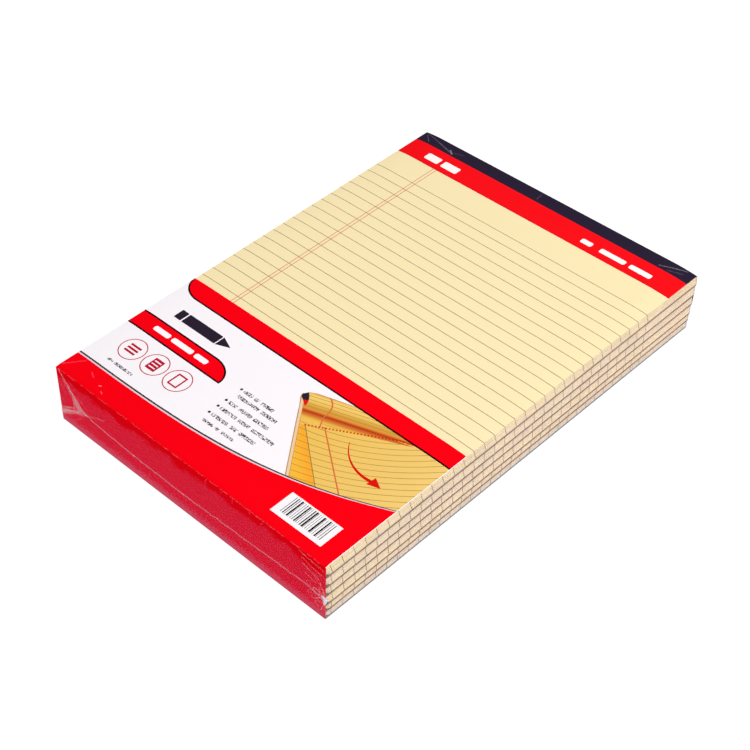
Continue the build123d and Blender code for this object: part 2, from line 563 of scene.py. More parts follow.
# Wrap label. Its print is laid out in millimetres from the top pad's middle, towards the head and the right,
# and runs on round the fold
labelSettings = dict(
    thickness=0.15 * mm,
    top=101.1 * mm,
    bottom=60 * mm,
    columns=70,
    crowding=0.7,
    white="FCF7FA",
    whiteShade="F6F0F4",
    red="F80314",
    rough=(0.42, 0.52),
    relief=0.06,
    steps=(40, 5, 12, 8),  # of the profile: top flap, each bend, end panel, bottom flap
    line="0A0508",
    bandLow=-59.3,  # lower edge of the upper band
    bandStart=0.6,  # from the label's left edge
    bandCurve=(15.0, 12.4),  # radii of its rounded corner
    tab=(-30.0, -85.5, -96.7),  # right end, top, bottom
    tabCurve=(15.0, 11.2),
    outline=1.1,
    # white stripe down the right cut edge, the paper's white edge with a painted highlight on it: its width,
    # its middle and its length
    brightCutEdge=0.32,
    brightCutMiddle=-98.0,
    brightCutLength=101.0,
    swooshStart=-131.1,
    swooshRise=32.6,
    swooshPower=3.2,
    swooshDark=1.1,
    swooshPale=0.9,
    swooshEnd=0.5,  # how much of their thickness both lines keep at the right
    swooshThins=0.55,  # from this share of the width on
    swooshInks=("4A3A40", "E4D3DA"),
    circles=[(-84.2, -111.2), (-65.6, -111.2), (-46.9, -111.2)],
    circleRadius=8.2,
    circleLine=0.62,
    circleInk="BC1A34",
    # what the badges show: a stack, a ruled page and a bare sheet
    stackBars=dict(size=(8.4, 1.5), pitch=2.6, corner=0.5),
    pageSize=(7.2, 9.2),
    pageLines=dict(size=(5.0, 0.8), pitch=2.4, corner=0.3),
    sheetFrame=((7.2, 9.6), (5.0, 7.4)),
    # pieces of the pencil, and the bars on the tab: middle and length, then height and thickness of the row
    pencil=[(-85.9, 5.4), (-68.6, 27.4)],
    pencilTip=(-54.2, 9.0),  # start and length
    pencilLine=(-74.2, 7.4),
    pencilInk="2B2130",
    tabBars=[(-83.0, 13.0), (-66.0, 17.0), (-50.6, 10.0)],
    tabLine=(-91.0, 3.6),
    textInk="4A4046",
    bulletInk="2B2428",
    bulletRadius=0.85,
    bullets=[(-16.5, -92.2), (-16.5, -103.2), (-16.5, -109.1), (-16.5, -115.4)],
    # rows of plain bars in place of words: height of the row, then where each bar starts and ends
    rows=[(-92.3, [(-14.4, -7.6), (-5.8, -2.6), (-0.8, 8.4)]),
          (-97.0, [(-14.4, 2.2), (4.0, 15.4)]),
          (-103.3, [(-14.4, -7.9), (-6.2, 3.4), (5.0, 15.8)]),
          (-109.3, [(-14.4, -2.2), (-0.4, 8.2), (10.0, 26.4)]),
          (-115.5, [(-14.4, -2.0), (0.0, 5.2), (7.0, 18.6)])],
    smallRows=[(-121.4, [(-15.0, -7.0), (-5.6, -2.6), (-1.2, 8.6)]),
               (-125.0, [(-89.0, -84.6), (-83.2, -68.6)])],
    grain=0.8,
    textHeight=2.4,
    smallHeight=1.9,
    markSize=(0.4, 0.52, 1.0),
    markGaps=0.44,  # share of the small print that stays white
)


def labelMesh():
    s = labelSettings
    half = s["thickness"] / 2
    foldZ = topZ - pull["foot"][0]
    onTop, bends, onEnd, onBottom = s["steps"]
    turns = [math.pi / 2 * i / bends for i in range(bends + 1)]
    top = [s["top"] * (1 - i / onTop) for i in range(onTop)]
    line = [(footY + y, topZ + half) for y in top]
    line += [(footY - half * math.sin(t), topZ + half * math.cos(t)) for t in turns]
    line += [(footY - half, foldZ + (stackBottom - foldZ) * i / onEnd) for i in range(1, onEnd)]
    line += [(footY - half * math.cos(t), stackBottom - half * math.sin(t)) for t in turns]
    line += [(footY + s["bottom"] * i / onBottom, stackBottom - half) for i in range(1, onBottom + 1)]
    # how far each point of the profile lies from the top flap's edge, along the paper
    reach = [0.0]
    for (y0, z0), (y1, z1) in zip(line, line[1:]):
        reach.append(reach[-1] + math.hypot(y1 - y0, z1 - z0))
    bm = drawAcross(line, 2 * padHalf, s["columns"])
    lookup = {(round(y, 7), round(z, 7)): d for (y, z), d in zip(line, reach)}
    flatLayer = bm.verts.layers.float_vector.new("flatPlace")
    for vert in bm.verts:
        nearest = min(lookup, key=lambda point: abs(point[0] - vert.co.y) + abs(point[1] - vert.co.z))
        side = crowd(vert.co.x / padHalf - 1, s["crowding"]) * padHalf
        vert[flatLayer] = (side / mm, (footY + s["top"] - middleY - lookup[nearest]) / mm, 0)
        x = padMiddle + side
        vert.co.z -= droop(x, vert.co.y) * max(0, min(1, (vert.co.z - stackBottom) / (topZ - stackBottom)))
        vert.co.x = x + stackLean * (vert.co.z - topZ)
    bmesh.ops.solidify(bm, geom=bm.faces[:], thickness=s["thickness"])
    return bm


def threeBars(tree, place, middle, size, pitch, corner):
    x, y = middle
    return [bar(tree, place, (x, y + i * pitch), size, corner=corner) for i in (-1, 0, 1)]


def labelPrint():
    # Wood-free label paper, coated and offset printed: flat fields of ink with a soft sheen
    s = labelSettings
    material, tree = newMaterial("offsetPrintedLabelPaper")
    place = addNode(tree, "Attribute", {"attribute_name": "flatPlace"}).outputs["Vector"]
    axes = addNode(tree, "SeparateXYZ", None, {0: place})
    halfWidth = padHalf / mm

    # the swoosh: a pale line over a dark one over the red field, all on one rising curve
    across = addNode(tree, "MapRange", {1: -halfWidth, 2: halfWidth}, {0: axes})
    curve = addNode(tree, "Math POWER", {1: s["swooshPower"]}, {0: across})
    rise = addNode(tree, "Math MULTIPLY_ADD", {1: s["swooshRise"], 2: s["swooshStart"]}, {0: curve})
    height = addNode(tree, "Math SUBTRACT", None, {0: axes.outputs[1], 1: rise})
    thinning = addNode(tree, "MapRange", {1: s["swooshThins"], 3: 1.0, 4: s["swooshEnd"]}, {0: across})
    height = addNode(tree, "Math DIVIDE", None, {0: height, 1: thinning})
    under = [addNode(tree, "Math LESS_THAN", {1: -drop}, {0: height})
             for drop in (0.0, s["swooshDark"], s["swooshDark"] + s["swooshPale"])]

    grain = addNode(tree, "TexNoise", {"Scale": 1 / s["grain"], "Detail": 3.0}, {"Vector": place})
    colour = layer(tree, s["white"], s["whiteShade"], grain)
    colour = layer(tree, colour, *picture(tree, place, axes))

    # upper band, its lower left corner rounded, over its own dark outline
    for grow, ink in ((s["outline"], s["line"]), (0.0, s["red"])):
        low = s["bandLow"] - grow
        radii = (s["bandCurve"][0] + grow, s["bandCurve"][1] + grow)
        start = s["bandCurve"][0] - halfWidth + s["bandStart"]
        right = sideOf(tree, place, (start, 0), (start, -1))
        bend = oval(tree, place, (start, low + radii[1]), radii)
        high = sideOf(tree, place, (0, low), (1, low))
        mask = mixed(tree, "MINIMUM", [high, mixed(tree, "MAXIMUM", [right, bend])])
        colour = layer(tree, colour, ink, mask)

    # tab, its upper right corner rounded
    for grow, ink in ((s["outline"], s["line"]), (0.0, s["red"])):
        end, high, low = s["tab"]
        radii = (s["tabCurve"][0] + grow, s["tabCurve"][1] + grow)
        start = end - s["tabCurve"][0]
        left = sideOf(tree, place, (start, 0), (start, 1))
        bend = oval(tree, place, (start, low), radii)
        between = [sideOf(tree, place, (0, low - grow), (1, low - grow)),
                   sideOf(tree, place, (1, high + grow), (0, high + grow))]
        mask = mixed(tree, "MINIMUM", [*between, mixed(tree, "MAXIMUM", [left, bend])])
        colour = layer(tree, colour, ink, mask)

    # a plain pencil, and plain bars, where words would stand
    level, thick = s["pencilLine"]
    pencil = [bar(tree, place, (x, level), (length, thick), corner=0.6) for x, length in s["pencil"]]
    x, length = s["pencilTip"]
    tip = [(x, level - thick / 2), (x + length, level), (x, level + thick / 2)]
    pencil.append(polygon(tree, place, tip))
    colour = layer(tree, colour, s["pencilInk"], mixed(tree, "MAXIMUM", pencil))
    level, thick = s["tabLine"]
    whites = [bar(tree, place, (x, level), (length, thick), corner=1.4) for x, length in s["tabBars"]]
    colour = layer(tree, colour, s["white"], mixed(tree, "MAXIMUM", whites))

    # three plain badges
    stack, page, sheet = s["circles"]
    marks = [ring(tree, place, middle, s["circleRadius"], s["circleLine"]) for middle in s["circles"]]
    marks += threeBars(tree, place, stack, **s["stackBars"])
    lines = outsideOf(tree, mixed(tree, "MAXIMUM", threeBars(tree, place, page, **s["pageLines"])))
    marks.append(mixed(tree, "MINIMUM", [bar(tree, place, page, s["pageSize"], corner=0.6), lines]))
    outer, inner = s["sheetFrame"]
    hollow = outsideOf(tree, bar(tree, place, sheet, inner, corner=0.2))
    marks.append(mixed(tree, "MINIMUM", [bar(tree, place, sheet, outer, corner=0.5), hollow]))
    colour = layer(tree, colour, s["circleInk"], mixed(tree, "MAXIMUM", marks))

    bullets = [oval(tree, place, middle, (s["bulletRadius"],) * 2) for middle in s["bullets"]]
    colour = layer(tree, colour, s["bulletInk"], mixed(tree, "MAXIMUM", bullets))
    words = []
    for rows, tall in ((s["rows"], s["textHeight"]), (s["smallRows"], s["smallHeight"])):
        for y, spans in rows:
            words += [bar(tree, place, ((start + end) / 2, y), (end - start, tall), corner=0.5)
                      for start, end in spans]
    steps = addNode(tree, "VectorMath SNAP", {1: s["markSize"]}, {0: place})
    draw = addNode(tree, "TexWhiteNoise", {"noise_dimensions": "2D"}, {"Vector": steps})
    strokes = addNode(tree, "Math GREATER_THAN", {1: s["markGaps"]}, {0: draw.outputs["Value"]})
    words = mixed(tree, "MINIMUM", [mixed(tree, "MAXIMUM", words), strokes])
    colour = layer(tree, colour, s["textInk"], words)

    for ink, mask in zip((*s["swooshInks"], s["red"]), under):
        colour = layer(tree, colour, ink, mask)
    colour = layer(tree, colour, *barCode(tree, place, axes))
    # a white stripe along the right cut edge, from fold to top edge: the paper's white edge with a painted
    # highlight on it
    edge = bar(tree, place, (halfWidth, s["brightCutMiddle"]), (2 * s["brightCutEdge"], s["brightCutLength"]))
    colour = layer(tree, colour, s["white"], edge)

    finishCoated(tree, colour, grain, s["rough"], s["relief"])
    return material


codeSettings = dict(
    field=((75.7, -133.3), (36.0, 16.0)),
    bars=((76.0, -132.4), (30.0, 12.2)),
    pitch=1.32,
    draws=(0.3, 0.85),  # draws up to the first give the thinnest bar, from the second on the thickest
    widths=(0.2, 0.84),  # shares of the pitch
    paper="F6F2F4",
    ink="171114",
)


def barCode(tree, place, axes):
    # plain uneven bars on a white field, with no numbers
    s = codeSettings
    field = bar(tree, place, *s["field"], corner=0.1)
    inside = bar(tree, place, *s["bars"], corner=0.05)
    count = addNode(tree, "Math MULTIPLY", {1: 1 / s["pitch"]}, {0: axes})
    whole = addNode(tree, "Math FLOOR", None, {0: count})
    share = addNode(tree, "Math FRACT", None, {0: count})
    draw = addNode(tree, "TexWhiteNoise", {"noise_dimensions": "1D"}, {"W": whole})
    ends = dict(zip((1, 2, 3, 4), s["draws"] + s["widths"]))
    widths = addNode(tree, "MapRange", ends, {0: draw.outputs["Value"]})
    inked = addNode(tree, "Math LESS_THAN", None, {0: share, 1: widths})
    bars = mixed(tree, "MINIMUM", [inside, inked])
    return layer(tree, s["paper"], s["ink"], bars), field


# The drawn pad on the label: a ruled page, torn off along its top under the rolled-back first page.
# Each line is given by its two ends
pictureSettings = dict(
    sheet="EDBC54", sheetFar="ECC672", under="F6B63A", underDeep="F9A42C",
    rule="A58B45", margin="D9713F", loosePage="8F7A45", perforation="CB320E", rollDash="8C3A22",
    side="EBCBA2", sideLine="B98552", hole="2B2230", hollow="DE1A1C", arrow="D8170F",
    ruleCentre=(4.7, 20.8), rulePitch=4.0, ruleWidth=0.38,
    sheetSpan=(20.0, 105.0),  # the sheet pales from the first place to the second
    underReach=8.0,  # the page under it deepens this near to its edge
    looseMargin=((75.5, -110.7), (36.8, -82.3)),
    marginWidth=0.8, looseWidth=0.45, innerWidth=0.3, outerWidth=1.1,
    outerEdge=((46.6, -120.6), (10.0, -73.6)),
    innerEdge=((48.9, -120.0), (12.6, -73.4)),
    looseEdge=((64.0, -115.7), (27.8, -87.8)),
    tornEdge=((27.8, -87.8), (74.0, -62.0)),
    rollEdge=((19.0, -80.9), (75.0, -62.4)),
    rollShape=[(19.0, -80.9), (86.0, -58.8), (86.0, -50.0), (38.0, -60.0), (27.0, -63.4), (17.0, -66.3),
               (11.8, -69.0), (10.2, -71.8)],
    rollShadow=[(12.0, -88.6), (50.0, -75.6), (81.0, -61.3), (12.0, -80.0)],
    neck=[(9.7, -72.0), (10.4, -74.4), (22.5, -88.8), (24.0, -79.6), (12.0, -70.0)],
    mouth=[(9.8, -73.3), (17.7, -78.3), (17.1, -75.8), (16.0, -73.8), (14.3, -71.6), (12.6, -70.0),
           (11.2, -69.1), (10.0, -70.0), (9.6, -71.6)],
    mouthSplit=((12.9, -75.4), (16.3, -73.6)),
    # shading across the roll: distance above its lower edge, then its colour
    rollShades=[(-5.0, "F2BC55"), (-3.8, "E7B046"), (-2.8, "D7933A"), (-1.9, "CF7632"), (-0.9, "CE5C28"),
                (0.0, "C1461A"), (0.9, "C34C1B"), (1.8, "D98837"), (2.8, "DC9A3D"), (4.2, "CB9337"),
                (5.2, "DBA749"), (8.0, "EDC25F"), (12.0, "F5CB72"), (14.0, "DDA552")],
    # dashed edges: which, ink, width, direction in degrees, pitch
    dashes=[("rollEdge", "rollDash", 0.6, 20.1, 1.6), ("tornEdge", "perforation", 1.15, 29.2, 1.9)],
    rollPitch=2.6, rollWidth=0.34, rollRuled=((19.0, -77.3), (75.0, -58.8)),
    rollMargin=((34.6, -83.8), (30.3, -76.5)), curl=((19.5, -75.5), 11.4, 0.9),
    arrowCentre=(77.3, -66.2), arrowRadius=27.7, arrowSpan=(54.0, 82.5), arrowHalf=(0.2, 1.05),
    arrowBox=((68.2, -88.0), (28.6, 14.0)),
    arrowHead=[(81.6, -90.0), (80.8, -96.4), (88.6, -93.9)],
)


def picture(tree, place, axes):
    p = pictureSettings
    # the rules bend as the page does, on circles about one point
    rules = ruled(tree, fromPoint(tree, place, p["ruleCentre"]), p["rulePitch"], p["ruleWidth"])
    near, far = p["sheetSpan"]
    shade = addNode(tree, "MapRange", {1: near, 2: far}, {0: axes})
    sheet = layer(tree, p["sheet"], p["sheetFar"], shade)

    # the page under the loose one, deepening towards the loose page's edge
    gap, offset = acrossLine(tree, place, *p["looseEdge"])
    deep = addNode(tree, "MapRange", {1: offset + p["underReach"], 2: offset}, {0: gap})
    under = layer(tree, p["under"], p["underDeep"], deep)
    lower = mixed(tree, "MINIMUM",
                  [sideOf(tree, place, *p["looseEdge"]), sideOf(tree, place, *reversed(p["tornEdge"]))])
    colour = layer(tree, sheet, under, lower)
    colour = layer(tree, colour, p["rule"], rules)
    colour = layer(tree, colour, p["loosePage"], lineMark(tree, place, p["looseEdge"], p["looseWidth"]))
    colour = layer(tree, colour, p["margin"], lineMark(tree, place, p["looseMargin"], p["marginWidth"]))

    # the pad's thickness, down its left side
    inner = sideOf(tree, place, *p["innerEdge"])
    colour = layer(tree, colour, p["side"], inner)
    colour = layer(tree, colour, p["sideLine"], lineMark(tree, place, p["innerEdge"], p["innerWidth"]))
    colour = layer(tree, colour, p["sideLine"], lineMark(tree, place, p["outerEdge"], p["outerWidth"]))

    # the roll, shaded across, with its own rules, margin line and open end
    height, offset = acrossLine(tree, place, *p["rollEdge"])
    first, last = p["rollShades"][0][0], p["rollShades"][-1][0]
    share = addNode(tree, "MapRange", {1: offset + first, 2: offset + last}, {0: height})
    shades = addNode(tree, "ValToRGB", None, {0: share})
    places = [(level - first) / (last - first) for level, _ in p["rollShades"]]
    ramp = shades.color_ramp
    ramp.elements[0].color, ramp.elements[1].color = (linear(p["rollShades"][i][1]) for i in (0, -1))
    for where, (_, ink) in list(zip(places, p["rollShades"]))[1:-1]:
        ramp.elements.new(where).color = linear(ink)
    roll = polygon(tree, place, p["rollShape"])
    rollRules = ruled(tree, height, p["rollPitch"], p["rollWidth"])
    above = sideOf(tree, place, *p["rollRuled"])
    shadow = mixed(tree, "MINIMUM", [polygon(tree, place, p["rollShadow"]), outsideOf(tree, inner)])
    colour = layer(tree, colour, shades, mixed(tree, "MAXIMUM", [roll, shadow]))
    margin = lineMark(tree, place, p["rollMargin"], p["marginWidth"])
    margin = mixed(tree, "MINIMUM", [margin, outsideOf(tree, roll)])
    colour = layer(tree, colour, p["margin"], margin)
    colour = layer(tree, colour, p["rule"], mixed(tree, "MINIMUM", [roll, above, rollRules]))
    curl = mixed(tree, "MINIMUM", [ring(tree, place, *p["curl"]), roll])
    colour = layer(tree, colour, p["margin"], curl)
    for edge, ink, width, turn, pitch in p["dashes"]:
        dashes = [lineMark(tree, place, p[edge], width), stripes(tree, place, turn, pitch)]
        colour = layer(tree, colour, p[ink], mixed(tree, "MINIMUM", dashes))
    mouth = polygon(tree, place, p["mouth"])
    colour = layer(tree, colour, p["hollow"], mouth)
    colour = layer(tree, colour, p["hole"],
                   mixed(tree, "MINIMUM", [mouth, sideOf(tree, place, *p["mouthSplit"])]))

    # a tapering arrow shows which way the page is pulled: part of a circle that its box cuts out
    reach = fromPoint(tree, place, p["arrowCentre"])
    (start, end), (thin, broad) = p["arrowSpan"], p["arrowHalf"]
    thick = addNode(tree, "MapRange", {1: start, 2: end, 3: thin, 4: broad}, {0: axes})
    shaft = addNode(tree, "Math COMPARE", {1: p["arrowRadius"]}, {0: reach, 2: thick})
    box = bar(tree, place, *p["arrowBox"])
    marks = [mixed(tree, "MINIMUM", [shaft, box]), polygon(tree, place, p["arrowHead"])]
    colour = layer(tree, colour, p["arrow"], mixed(tree, "MAXIMUM", marks))

    body = mixed(tree, "MINIMUM",
                 [outsideOf(tree, sideOf(tree, place, *p["outerEdge"])),
                  outsideOf(tree, sideOf(tree, place, *p["rollEdge"]))])
    return colour, mixed(tree, "MAXIMUM", [roll, body, polygon(tree, place, p["neck"])])


addPiece("wrapLabel", labelMesh(), labelPrint(), ["wrap_label"])
print("label built")


# Shrink film. Creases are laid out in millimetres: on the end walls from the stack's middle and the floor,
# on top from the top pad's middle
filmSettings = dict(
    gap=0.1 * mm,
    reach=0.14 * mm,  # more gap along the sides, over the pads' stepped edges
    columns=150,
    rows=100,
    levels=56,
    crowding=0.82,
    corner=0.5 * mm,
    # tints of the painted reflection on the walls, of the painted shade near the floor, and of the creases
    # with their painted highlights
    reflectionTint="D092FF",
    floorShadeTint="5093C0",
    creaseAndGlintTint="E6E1F2",
    reflectionStrength=0.045,
    reflectionHeights=(38.0, 33.0),  # no painted reflection above the first, which leaves a painted shade under the top fold, all of it below the second
    floorShadeStrength=0.18,
    floorShadeHeights=(9.0, 1.0),
    whiteFrom=0.12,  # creases this dense are white
    # sizes of the patterns: how creases wobble, streaks in them, and how the painted reflection's upper edge
    # drifts
    wobble=2.5 * mm,
    stray=1.2,
    topStray=0.3,
    streak=1.1 * mm,
    streakSpan=(0.32, 0.62),  # from where to where in the noise
    streakShow=(0.35, 1.15),  # how strong creases are at either end of it
    drift=11 * mm,
    driftRise=14.0,
    footFrom=0.05 * mm,  # film this far before the paper's foot is on the foot's wall
    topFrom=0.6,  # faces that point up more than this are the top
    wallUpTo=0.7,  # faces that point up or down less than this are the walls
    creaseRelief=0.35 * mm,
    labelStep=1.5 * mm,  # over this length the film rises onto the label
    # ripples of the end walls: depth, size across and up, and from the side edges inwards over this reach
    ripple=0.10 * mm,
    rippleSize=(9, 2.2),
    rippleSpan=(105, 35),
    # creases on the foot wall: ends, width, strength. They raise ridges in the film, and are painted white,
    # partly the whitening of gathered film and partly painted highlight
    footCreases=[((-102.5, 42.0), (-95.5, 33.0), 0.9, 0.38), ((-95.5, 33.0), (-89.0, 24.5), 1.4, 0.47),
                 ((-90.0, 24.5), (-87.2, 18.5), 4.8, 0.34), ((-92.5, 29.0), (-83.0, 19.8), 1.0, 0.42),
                 ((-89.0, 22.0), (-81.5, 19.4), 1.6, 0.44), ((-89.0, 17.0), (-82.5, 19.0), 1.4, 0.33),
                 ((-89.0, 16.4), (-97.0, 12.0), 2.1, 0.4), ((-97.0, 12.0), (-107.5, 6.4), 3.0, 0.48),
                 ((-93.0, 17.5), (-107.0, 9.5), 0.8, 0.36), ((-91.5, 23.0), (-93.0, 14.0), 0.7, 0.36),
                 ((-81.0, 19.4), (-66.0, 26.0), 0.8, 0.13), ((-100.5, 36.0), (-94.0, 27.0), 0.6, 0.2),
                 ((-106.0, 24.0), (-99.0, 13.0), 0.6, 0.14), ((-104.0, 36.0), (-98.0, 22.0), 0.5, 0.1),
                 ((-88.0, 30.0), (-80.0, 24.0), 0.6, 0.12), ((-87.0, 13.0), (-96.0, 5.0), 0.6, 0.1),
                 ((105.0, 17.5), (97.5, 20.5), 0.7, 0.36), ((104.5, 17.0), (98.0, 12.5), 0.6, 0.3),
                 ((104.8, 19.0), (101.5, 27.0), 0.6, 0.34), ((104.8, 15.0), (102.0, 6.0), 0.7, 0.28),
                 ((98.5, 24.5), (91.0, 26.5), 0.6, 0.2), ((100.5, 29.0), (89.0, 32.5), 0.6, 0.22),
                 ((102.5, 33.5), (88.0, 37.0), 0.6, 0.22), ((103.5, 38.5), (86.0, 40.6), 0.6, 0.18),
                 ((101.0, 26.0), (95.0, 30.5), 0.5, 0.16), ((94.5, 14.5), (99.5, 8.0), 0.5, 0.16),
                 ((103.5, 24.0), (104.5, 8.0), 0.5, 0.2), ((18.5, 42.0), (17.6, 38.8), 0.5, 0.09),
                 ((29.0, 42.0), (30.2, 39.6), 0.5, 0.08), ((38.5, 42.0), (37.6, 37.6), 0.5, 0.09),
                 ((50.0, 42.0), (51.4, 39.0), 0.5, 0.08), ((60.5, 42.0), (59.4, 38.2), 0.5, 0.09)],
    # loose loops of film by the right corner: middle, radius, width, strength
    loops=[((98.5, 18.5), 2.4, 0.45, 0.34), ((101.6, 13.4), 1.9, 0.4, 0.34), ((95.4, 13.0), 2.6, 0.35, 0.2),
           ((102.2, 21.8), 1.7, 0.4, 0.3), ((99.6, 8.8), 1.8, 0.35, 0.2), ((93.6, 20.6), 1.5, 0.35, 0.16)],
    foldHighlight=(42.35, 0.26, 0.2),  # painted highlight along the top fold: height, width, strength
    foldGlintSpan=(-100, 104),
    # painted highlights along creases of the film on top: ends, width, strength
    topCreaseGlints=[((-104.0, 147.2), (-90.0, 143.6), 0.7, 0.10), ((-90.0, 143.6), (-78.5, 140.6), 0.6, 0.2),
                ((-79.5, 142.2), (-76.5, 140.0), 0.9, 0.3), ((-76.0, 141.5), (-70.0, 143.6), 0.5, 0.1),
                ((-101.5, 145.0), (-96.0, 140.0), 0.6, 0.12), ((-8.2, 145.8), (-8.0, 140.5), 0.5, 0.12),
                ((84.0, 140.3), (99.5, 146.8), 0.55, 0.24), ((90.0, 139.6), (99.0, 142.8), 0.5, 0.12),
                ((-104.5, -145.5), (-96.0, -134.8), 0.7, 0.10), ((-75.0, -142.6), (-73.8, -141.9), 0.4, 0.5),
                ((-86.0, -138.5), (-82.0, -140.5), 0.5, 0.12), ((-71.0, -144.5), (-69.0, -145.4), 0.4, 0.3)],
    sealPlaces=[(-82.5, 19.4), (-73.7, 18.4), (-63.7, 17.4), (-42.0, 15.9), (0.0, 14.9),
                (43.0, 16.4), (76.3, 17.7), (89.7, 18.3), (98.0, 17.4), (105.0, 16.2)],
    sealStep=1.0,
    sealDepth=(0.25 * mm, 0.75 * mm),
    sealThickness=0.2 * mm,
    sealTip=0.5,  # share of the thickness at its tip
    sealRoot=0.05 * mm,  # how far it reaches into the wall
    # how it wanders up and down, in depth and in whiteness: rate, where the noise is read, how much
    sealWaves=[(0.22, 4.0, 0.8), (0.9, 9.0, 0.5)],
    sealDepthWave=(0.5, 2.0),
    sealShow=0.22,
    sealShowWave=(0.8, 7.0, 0.9),
    # gathered lumps where the seal runs into the corners: place, size, how white
    lumps=[((104.9, 15.6), (1.0, 0.8, 1.9), 0.8), ((103.5, 17.6), (1.2, 0.5, 0.8), 0.6),
           ((104.5, 12.9), (0.7, 0.5, 0.9), 0.5), ((-41.6, 15.6), (0.6, 0.4, 0.45), 0.4)],
    lumpSwell=0.45,
    lumpBumps=2.6,
)


def heightAlong(points, x):
    # height at x of a line through the points
    for (x0, y0), (x1, y1) in zip(points, points[1:]):
        if x <= x1:
            t = (x - x0) / (x1 - x0)
            return y0 + (y1 - y0) * (t * t * (3 - 2 * t) * 0.5 + t * 0.5)
    return points[-1][1]


def fromLine(x, y, start, end):
    # distance of a point from a straight line
    (x0, y0), (x1, y1) = start, end
    t = ((x - x0) * (x1 - x0) + (y - y0) * (y1 - y0)) / ((x1 - x0) ** 2 + (y1 - y0) ** 2)
    t = min(max(t, 0), 1)
    return math.hypot(x - x0 - t * (x1 - x0), y - y0 - t * (y1 - y0))


def wallMiddle(z):
    return padMiddle + stackLean * (z - topZ)


def filmMesh():
    s = filmSettings
    low, high = stackBottom - labelSettings["thickness"] - s["gap"], topZ + s["gap"]
    foot, head = footY - labelSettings["thickness"] - s["gap"], headY + s["gap"]
    topPad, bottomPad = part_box("pad_1_backing_board"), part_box("pad_6_ruled_sheets")
    half = Vector((padHalf + s["gap"] + s["reach"], (head - foot) / 2, (high - low) / 2))
    inner = half - Vector((s["corner"],) * 3)
    bm = griddedBox((s["columns"], s["rows"], s["levels"]))
    gather = bm.verts.layers.float.new("gather")
    for vert in bm.verts:
        flat = Vector([crowd(c, s["crowding"]) * h for c, h in zip(vert.co, half)])
        core = Vector([max(-i, min(i, c)) for c, i in zip(flat, inner)])
        out = flat - core
        point = core + out.normalized() * s["corner"] if out.length > 1e-9 else flat
        y = (foot + head) / 2 + point.y
        z = (low + high) / 2 + point.z
        # the hull of the slipped pads: upright beside the top one on the right, the bottom one on the left
        right = topPad[1].x - max(0, topPad[0].z - z) * (topPad[1].x - bottomBoard[1].x) / (topPad[0].z - low)
        above = max(0, z - bottomPad[1].z)
        left = bottomPad[0].x + above * (sheetsLow.x - bottomPad[0].x) / (topZ - bottomPad[1].z)
        x = (left + right) / 2 + point.x / half.x * ((right - left) / 2 + s["gap"] + s["reach"])
        overLabel = (footY + labelSettings["top"] - y) / s["labelStep"] + 1
        lift = labelSettings["thickness"] * min(1, max(0, overLabel))
        z += (lift - droop(x, y)) * max(0, min(1, (z - low) / (high - low)))
        side, height = (x - wallMiddle(z)) / mm, z / mm
        if vert.co.y < -onSide:
            rise = max(c[3] * max(0, 1 - fromLine(side, height, c[0], c[1]) / c[2]) for c in s["footCreases"])
            y -= s["creaseRelief"] * rise
        if abs(vert.co.y) > onSide:
            edge, reach = s["rippleSpan"]
            near = ease((1 - abs(side) / edge) * edge, reach)
            wave = noise.noise((side / s["rippleSize"][0], height / s["rippleSize"][1], 0))
            y += math.copysign(s["ripple"], vert.co.y) * near * (0.5 + 0.5 * wave)
        vert.co = (x, y, z)
    filmSeal(bm, gather, foot)
    for place, size, show in s["lumps"]:
        z = place[1] * mm
        made = bmesh.ops.create_icosphere(bm, subdivisions=4, radius=1)["verts"]
        for vert in made:
            where = vert.co * s["lumpBumps"] + Vector((place[0], 0, place[1]))
            swell = 1 + s["lumpSwell"] * noise.noise(where)
            x, y, height = (c * size[i] * swell * mm for i, c in enumerate(vert.co))
            vert.co = (wallMiddle(z) + place[0] * mm + x, foot + y, z + height)
            vert[gather] = show
    return bm


def filmSeal(bm, gather, foot):
    # the heat-sealed fin, a thin closed ribbon that wanders across the foot end
    s = filmSettings
    start, end = s["sealPlaces"][0][0], s["sealPlaces"][-1][0]
    count = round((end - start) / s["sealStep"])
    half = s["sealThickness"] / 2
    tip = half * s["sealTip"]
    outline = ((0, -half), (-1, -tip), (-1, tip), (0, half))
    loop = [bm.verts.new((start * mm, y, z)) for y, z in outline]
    edges = [bm.edges.new(pair) for pair in zip(loop, loop[1:] + loop[:1])]
    first, loops = edges, [loop]
    for _ in range(count):
        edges, loop = extrudeOn(bm, edges, s["sealStep"] * mm)
        loops.append(loop)
    bmesh.ops.holes_fill(bm, edges=first + edges, sides=4)
    shallow, deep = s["sealDepth"]
    for loop in loops:
        x = loop[0].co.x / mm
        wave = sum(noise.noise((x * rate, row, 0.0)) * tall for rate, row, tall in s["sealWaves"])
        z = (heightAlong(s["sealPlaces"], x) + wave) * mm
        rate, row = s["sealDepthWave"]
        depth = shallow + (deep - shallow) * (0.5 + 0.5 * noise.noise((x * rate, 0.0, row)))
        rate, row, change = s["sealShowWave"]
        show = s["sealShow"] * (1 + change * noise.noise((x * rate, 0.0, row)))
        for vert in loop:
            y = foot + vert.co.y * depth if vert.co.y else foot + s["sealRoot"]
            vert.co = (vert.co.x + wallMiddle(z), y, z + vert.co.z)
            vert[gather] = show
    bmesh.ops.recalc_face_normals(bm, faces=list({f for loop in loops for v in loop for f in v.link_faces}))


